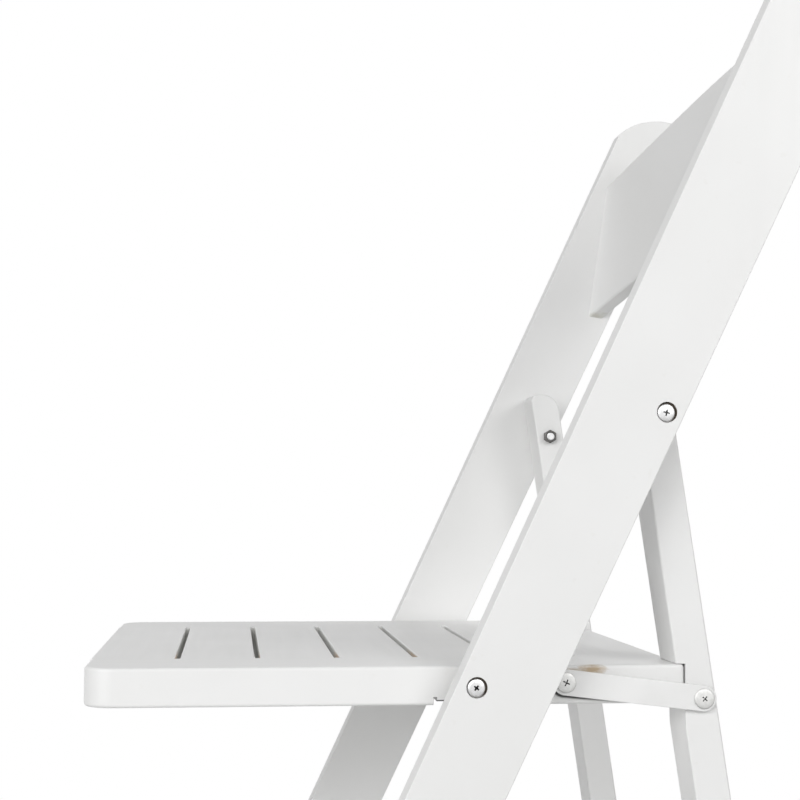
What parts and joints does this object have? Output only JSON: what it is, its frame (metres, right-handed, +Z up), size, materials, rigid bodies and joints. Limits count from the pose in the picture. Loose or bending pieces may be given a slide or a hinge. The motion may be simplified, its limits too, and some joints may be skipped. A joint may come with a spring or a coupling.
{
  "type": "folding chair",
  "caption": "White folding chair with a leaning front frame, slatted seat, curved backrest, hinged rear legs and flat side links that fold it nearly flat.",
  "frame": {"origin": "centre of the bounding box at the floor, chair standing open", "axes": "+Z up, +Y towards the back of the chair, +X towards the sitter's left"},
  "size_m": [0.42, 0.4653, 0.8511],
  "materials": {
    "white_paint": "satin white paint over wood",
    "link_paint": "satin white",
    "steel": "zinc plated",
    "dark_steel": "dull, dark",
    "brass": "plain",
    "nylon": "matte",
    "beech": "bare"
  },
  "bodies": {
    "front_frame": {"left_upright": "white_paint", "right_upright": "white_paint", "backrest": "white_paint", "front_stretcher": "white_paint", "left_seat_pivot_screw": "steel", "left_leg_pivot_bolt": "steel", "left_seat_pivot_spacer": "nylon", "left_leg_pivot_spacer": "nylon", "left_leg_pivot_nut": "dark_steel", "left_backrest_dowel_lower": "beech", "left_backrest_dowel_upper": "beech", "right_seat_pivot_screw": "steel", "right_leg_pivot_bolt": "steel", "right_seat_pivot_spacer": "nylon", "right_leg_pivot_spacer": "nylon", "right_leg_pivot_nut": "dark_steel", "right_backrest_dowel_lower": "beech", "right_backrest_dowel_upper": "beech"},
    "rear_legs": {"left_rear_leg": "white_paint", "right_rear_leg": "white_paint", "rear_stretcher": "white_paint", "left_link_rear_screw": "steel", "right_link_rear_screw": "steel"},
    "links": {"left_link": "link_paint", "right_link": "link_paint"},
    "seat": {"left_seat_side_rail": "white_paint", "right_seat_side_rail": "white_paint", "seat_slat_1": "white_paint", "seat_slat_2": "white_paint", "seat_slat_3": "white_paint", "seat_slat_4": "white_paint", "seat_slat_5": "white_paint", "seat_slat_6": "white_paint", "seat_slat_7": "white_paint", "left_link_front_screw": "steel", "right_link_front_screw": "steel", "left_seat_pivot_insert": "brass", "right_seat_pivot_insert": "brass"}
  },
  "joints": [
    {"name": "rear_legs_fold", "type": "hinge", "parent": "front_frame", "child": "rear_legs", "pos_m": [0, 0.1, 0.5864], "axis": [-1, 0, 0], "range_deg": [0, 33.3]},
    {"name": "links_turn", "type": "hinge", "parent": "rear_legs", "child": "links", "pos_m": [0, 0.12703, 0.4202], "axis": [1, 0, 0], "range_deg": [0, 80.97]},
    {"name": "seat_fold", "type": "hinge", "parent": "links", "child": "seat", "pos_m": [0, 0.045, 0.4302], "axis": [-1, 0, 0], "range_deg": [0, 159.67]}
  ],
  "couplings": [
    {"joint": "links_turn", "follows": "rear_legs_fold", "ratio": 2.4314},
    {"joint": "seat_fold", "follows": "rear_legs_fold", "ratio": 4.7948}
  ]
}
